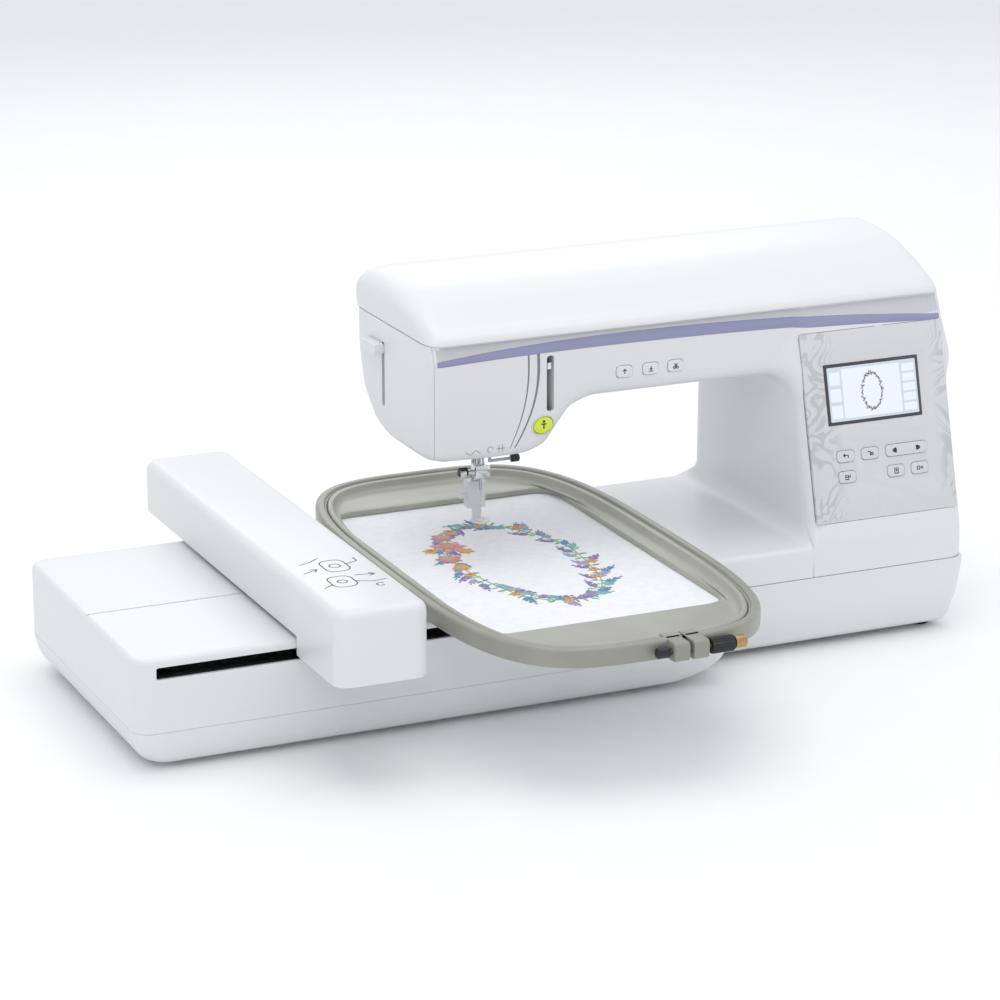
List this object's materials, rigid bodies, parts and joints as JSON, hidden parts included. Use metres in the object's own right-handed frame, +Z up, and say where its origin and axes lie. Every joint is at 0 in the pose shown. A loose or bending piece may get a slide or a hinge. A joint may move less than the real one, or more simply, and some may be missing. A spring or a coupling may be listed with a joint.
{
  "type": "embroidery machine",
  "caption": "Free-arm embroidery machine with a leaning touch-screen pillar, an L-shaped embroidery unit, a sliding carriage and a long arched hoop holding fabric.",
  "frame": {"origin": "on the table, under the centre of the machine's box", "axes": "+X along the bed towards the handwheel, +Y from the user's side towards the back, +Z up"},
  "size_m": [0.718, 0.499, 0.2996],
  "materials": {
    "white_shell": "fine satin moulded plastic",
    "silver_panel": "light silver-grey satin plastic",
    "violet_trim": "blue-violet band",
    "black_plastic": "black moulded plastic",
    "rubber_black": "black rubber",
    "steel": "ground steel",
    "chrome_steel": "polished plated steel",
    "cast_alloy": "cast aluminium",
    "bronze": "sintered bronze",
    "board_green": "solder mask",
    "screen_glass": "lit display glass",
    "clear_smoke": "clear plastic",
    "start_green": "lit yellow-green",
    "hoop_grey": "warm grey nylon",
    "fabric_white": "white woven cotton with embroidery"
  },
  "bodies": {
    "machine": {"base_pan": "white_shell", "rubber_feet": "rubber_black", "casing_screws": "steel", "bed_cover": "white_shell", "needle_plate": "steel", "bobbin_cover": "clear_smoke", "front_cover": "white_shell", "rear_cover": "white_shell", "face_plate": "white_shell", "side_cover": "white_shell", "top_deck": "silver_panel", "trim_band": "violet_trim", "control_panel": "silver_panel", "display_glass": "screen_glass", "circuit_board": "board_green", "main_frame": "cast_alloy", "shaft_bushes": "bronze", "main_motor": "black_plastic", "drive_belts": "rubber_black", "bobbin_case": "black_plastic", "spool_pin": "white_shell", "power_inlet": "black_plastic", "unit_base": "white_shell", "unit_cover": "white_shell", "unit_chassis": "steel", "unit_drive": "black_plastic"},
    "drive_shaft": {"upper_shaft": "steel", "handwheel": "white_shell"},
    "lower_drive": {"lower_shaft": "steel"},
    "hook": {"rotary_hook": "chrome_steel"},
    "bobbin_body": {"bobbin": "clear_smoke"},
    "needle_set": {"needle_bar": "chrome_steel", "needle_clamp": "chrome_steel", "needle": "chrome_steel"},
    "presser_set": {"presser_bar": "chrome_steel", "embroidery_foot": "white_shell"},
    "lifter": {"presser_lever": "silver_panel"},
    "take_up": {"take_up_lever": "chrome_steel"},
    "threader": {"threader_lever": "white_shell"},
    "start": {"start_button": "start_green"},
    "arm_1": {"arm_button_1": "white_shell"},
    "arm_2": {"arm_button_2": "white_shell"},
    "arm_3": {"arm_button_3": "white_shell"},
    "key_1": {"panel_key_1": "silver_panel"},
    "key_2": {"panel_key_2": "silver_panel"},
    "key_3": {"panel_key_3": "silver_panel"},
    "key_4": {"panel_key_4": "silver_panel"},
    "key_5": {"panel_key_5": "silver_panel"},
    "arrows": {"arrow_key": "silver_panel"},
    "lid": {"top_lid": "white_shell"},
    "winder": {"bobbin_winder": "white_shell"},
    "switch": {"power_switch": "black_plastic"},
    "carriage": {"carriage_cover": "white_shell", "carriage_frame": "cast_alloy", "carriage_drive": "black_plastic"},
    "hoop": {"hoop_holder": "white_shell", "hoop_outer": "hoop_grey", "hoop_inner": "hoop_grey", "hoop_fabric": "fabric_white"},
    "clamp_screw": {"hoop_screw": "chrome_steel"}
  },
  "joints": [
    {"name": "carriage_travel", "type": "slide", "parent": "machine", "child": "carriage", "axis": [1, 0, 0], "range_m": [-0.08, 0.08]},
    {"name": "hoop_travel", "type": "slide", "parent": "carriage", "child": "hoop", "axis": [0, 1, 0], "range_m": [-0.051, 0.209]},
    {"name": "hoop_screw_turn", "type": "hinge", "parent": "hoop", "child": "clamp_screw", "pos_m": [0.001, -0.2435, 0.096], "axis": [1, 0, 0], "continuous": true},
    {"name": "handwheel_turn", "type": "hinge", "parent": "machine", "child": "drive_shaft", "pos_m": [0.141, 0.0755, 0.226], "axis": [1, 0, 0], "continuous": true},
    {"name": "lower_shaft_turn", "type": "hinge", "parent": "machine", "child": "lower_drive", "pos_m": [0.141, 0.0755, 0.032], "axis": [1, 0, 0], "continuous": true},
    {"name": "hook_turn", "type": "hinge", "parent": "machine", "child": "hook", "pos_m": [-0.024, 0.0475, 0.04], "axis": [0, 0, 1], "continuous": true},
    {"name": "bobbin_turn", "type": "hinge", "parent": "machine", "child": "bobbin_body", "pos_m": [-0.024, 0.0475, 0.066], "axis": [0, 0, 1], "continuous": true},
    {"name": "needle_stroke", "type": "slide", "parent": "machine", "child": "needle_set", "axis": [0, 0, 1], "range_m": [-0.033, 0], "deforming": ["hoop_fabric"]},
    {"name": "presser_travel", "type": "slide", "parent": "machine", "child": "presser_set", "axis": [0, 0, 1], "range_m": [-0.009, 0]},
    {"name": "lifter_swing", "type": "hinge", "parent": "machine", "child": "lifter", "pos_m": [-0.011, 0.1195, 0.196], "axis": [-1, 0, 0], "range_deg": [0, 35]},
    {"name": "take_up_swing", "type": "hinge", "parent": "machine", "child": "take_up", "pos_m": [0, 0.0415, 0.226], "axis": [1, 0, 0], "range_deg": [0, 45]},
    {"name": "threader_travel", "type": "slide", "parent": "machine", "child": "threader", "axis": [0, 0, 1], "range_m": [-0.038, 0], "stiffness_N_per_m": 30, "springref_m": 0.01},
    {"name": "start_press", "type": "slide", "parent": "machine", "child": "start", "axis": [0, 1, 0], "range_m": [0, 0.0012], "stiffness_N_per_m": 600},
    {"name": "arm_button_1_press", "type": "slide", "parent": "machine", "child": "arm_1", "axis": [0, 1, 0], "range_m": [0, 0.0012], "stiffness_N_per_m": 600},
    {"name": "arm_button_2_press", "type": "slide", "parent": "machine", "child": "arm_2", "axis": [0, 1, 0], "range_m": [0, 0.0012], "stiffness_N_per_m": 600},
    {"name": "arm_button_3_press", "type": "slide", "parent": "machine", "child": "arm_3", "axis": [0, 1, 0], "range_m": [0, 0.0012], "stiffness_N_per_m": 600},
    {"name": "panel_key_1_press", "type": "slide", "parent": "machine", "child": "key_1", "axis": [0, 0.9681, -0.2504], "range_m": [0, 0.0008], "stiffness_N_per_m": 600},
    {"name": "panel_key_2_press", "type": "slide", "parent": "machine", "child": "key_2", "axis": [0, 0.9681, -0.2504], "range_m": [0, 0.0008], "stiffness_N_per_m": 600},
    {"name": "panel_key_3_press", "type": "slide", "parent": "machine", "child": "key_3", "axis": [0, 0.9681, -0.2504], "range_m": [0, 0.0008], "stiffness_N_per_m": 600},
    {"name": "panel_key_4_press", "type": "slide", "parent": "machine", "child": "key_4", "axis": [0, 0.9681, -0.2504], "range_m": [0, 0.0008], "stiffness_N_per_m": 600},
    {"name": "panel_key_5_press", "type": "slide", "parent": "machine", "child": "key_5", "axis": [0, 0.9681, -0.2504], "range_m": [0, 0.0008], "stiffness_N_per_m": 600},
    {"name": "arrow_rock", "type": "hinge", "parent": "machine", "child": "arrows", "pos_m": [0.29, -0.02526, 0.14716], "axis": [0, 0.2504, 0.9681], "range_deg": [-2.5, 2.5], "stiffness_Nm_per_rad": 0.05},
    {"name": "lid_swing", "type": "hinge", "parent": "machine", "child": "lid", "pos_m": [0.071, 0.156, 0.258], "axis": [-1, 0, 0], "range_deg": [0, 85]},
    {"name": "winder_shift", "type": "slide", "parent": "machine", "child": "winder", "axis": [1, 0, 0], "range_m": [0, 0.004]},
    {"name": "power_rock", "type": "hinge", "parent": "machine", "child": "switch", "pos_m": [0.333, 0.0745, 0.032], "axis": [0, 1, 0], "range_deg": [-8, 8]}
  ],
  "couplings": [
    {"joint": "lower_shaft_turn", "follows": "handwheel_turn", "ratio": 1},
    {"joint": "hook_turn", "follows": "handwheel_turn", "ratio": 2},
    {"joint": "lifter_swing", "follows": "presser_travel", "rad_per_m": -67.873}
  ]
}
